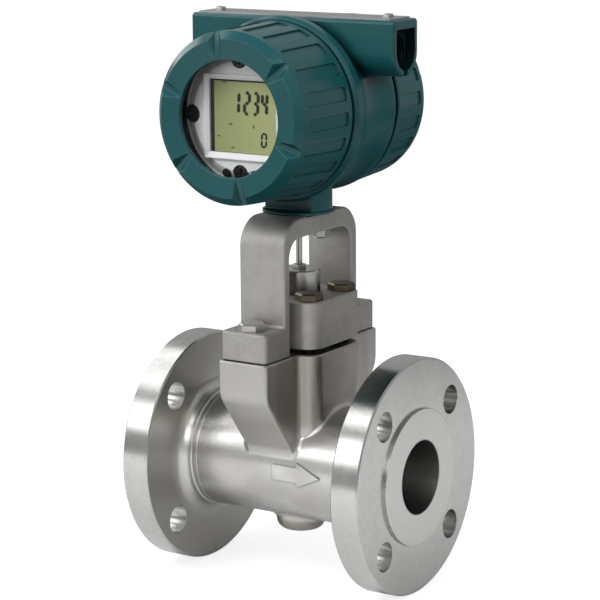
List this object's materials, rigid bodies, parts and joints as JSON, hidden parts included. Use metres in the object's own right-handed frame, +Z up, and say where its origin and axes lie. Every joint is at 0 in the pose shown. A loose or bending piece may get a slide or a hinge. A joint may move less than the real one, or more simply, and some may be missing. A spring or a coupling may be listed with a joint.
{
  "type": "vortex flow meter",
  "caption": "Flanged vortex flow meter: a steel body between pipe flanges, and a round display housing on a bracket, with screwed covers and cable entries.",
  "frame": {"origin": "on the pipe's centre line, halfway between the two flange faces", "axes": "+X along the flow, -Y towards the viewer of the display, +Z up towards the housing"},
  "size_m": [0.15, 0.1309, 0.3058],
  "materials": {
    "cast_steel": "satin",
    "bracket_steel": "satin",
    "flange_steel": "satin",
    "machined_steel": "satin",
    "brown_bolt_steel": "satin",
    "bright_bolt_steel": "satin",
    "plate_steel": "satin",
    "gasket": "matte",
    "black_rubber": "matte",
    "teal_enamel": "gloss",
    "window_glass": "gloss",
    "white_plastic": "matte",
    "black_plastic": "matte",
    "grey_plastic": "matte",
    "lcd": "gloss",
    "circuit_board": "matte",
    "black_screws": "satin",
    "brass": "satin"
  },
  "bodies": {
    "meter": {"meter_body": "cast_steel", "inlet_flange": "flange_steel", "outlet_flange": "flange_steel", "shedder_bar": "machined_steel", "shedder_gasket": "gasket", "shedder_block": "cast_steel", "shedder_bolts": "brown_bolt_steel", "vibration_sensor": "machined_steel", "sensor_cap": "machined_steel", "lead_tube_gland": "machined_steel", "lead_tube": "machined_steel", "bracket": "bracket_steel", "bracket_bolts": "bright_bolt_steel", "neck_screws": "bright_bolt_steel", "housing_body": "teal_enamel", "display_bezel": "white_plastic", "lcd_panel": "lcd", "display_board": "circuit_board", "display_screws": "black_screws", "display_standoffs": "brass", "amplifier_unit": "grey_plastic", "amplifier_screws": "bright_bolt_steel", "terminal_block": "grey_plastic", "terminal_screws": "bright_bolt_steel", "terminal_fixing_screws": "bright_bolt_steel", "nameplate": "plate_steel", "nameplate_screws": "bright_bolt_steel"},
    "front_cover_ring": {"front_o_ring": "black_rubber"},
    "front_cover": {"front_cover": "teal_enamel", "window_gasket": "black_rubber", "window_glass": "window_glass", "glass_retainer": "black_plastic"},
    "rear_cover_ring": {"rear_o_ring": "black_rubber"},
    "rear_cover": {"rear_cover": "teal_enamel"},
    "left_button": {"left_button": "black_plastic"},
    "right_button": {"right_button": "black_plastic"}
  },
  "joints": [
    {"name": "front_cover_travel", "type": "slide", "parent": "meter", "child": "front_cover_ring", "axis": [0, -1, 0], "range_m": [0, 0.01]},
    {"name": "front_cover_turn", "type": "hinge", "parent": "front_cover_ring", "child": "front_cover", "pos_m": [0, -0.0203, 0.1924], "axis": [0, -1, 0], "range_deg": [0, 1800]},
    {"name": "rear_cover_travel", "type": "slide", "parent": "meter", "child": "rear_cover_ring", "axis": [0, 1, 0], "range_m": [0, 0.01]},
    {"name": "rear_cover_turn", "type": "hinge", "parent": "rear_cover_ring", "child": "rear_cover", "pos_m": [0, 0.0228, 0.1924], "axis": [0, 1, 0], "range_deg": [0, 1800]},
    {"name": "left_button_press", "type": "slide", "parent": "meter", "child": "left_button", "axis": [0, 1, 0], "range_m": [0, 0.0008], "stiffness_N_per_m": 40},
    {"name": "right_button_press", "type": "slide", "parent": "meter", "child": "right_button", "axis": [0, 1, 0], "range_m": [0, 0.0008], "stiffness_N_per_m": 40}
  ],
  "couplings": [
    {"joint": "front_cover_travel", "follows": "front_cover_turn", "m_per_rad": 0.0003183},
    {"joint": "rear_cover_travel", "follows": "rear_cover_turn", "m_per_rad": 0.0003183}
  ]
}
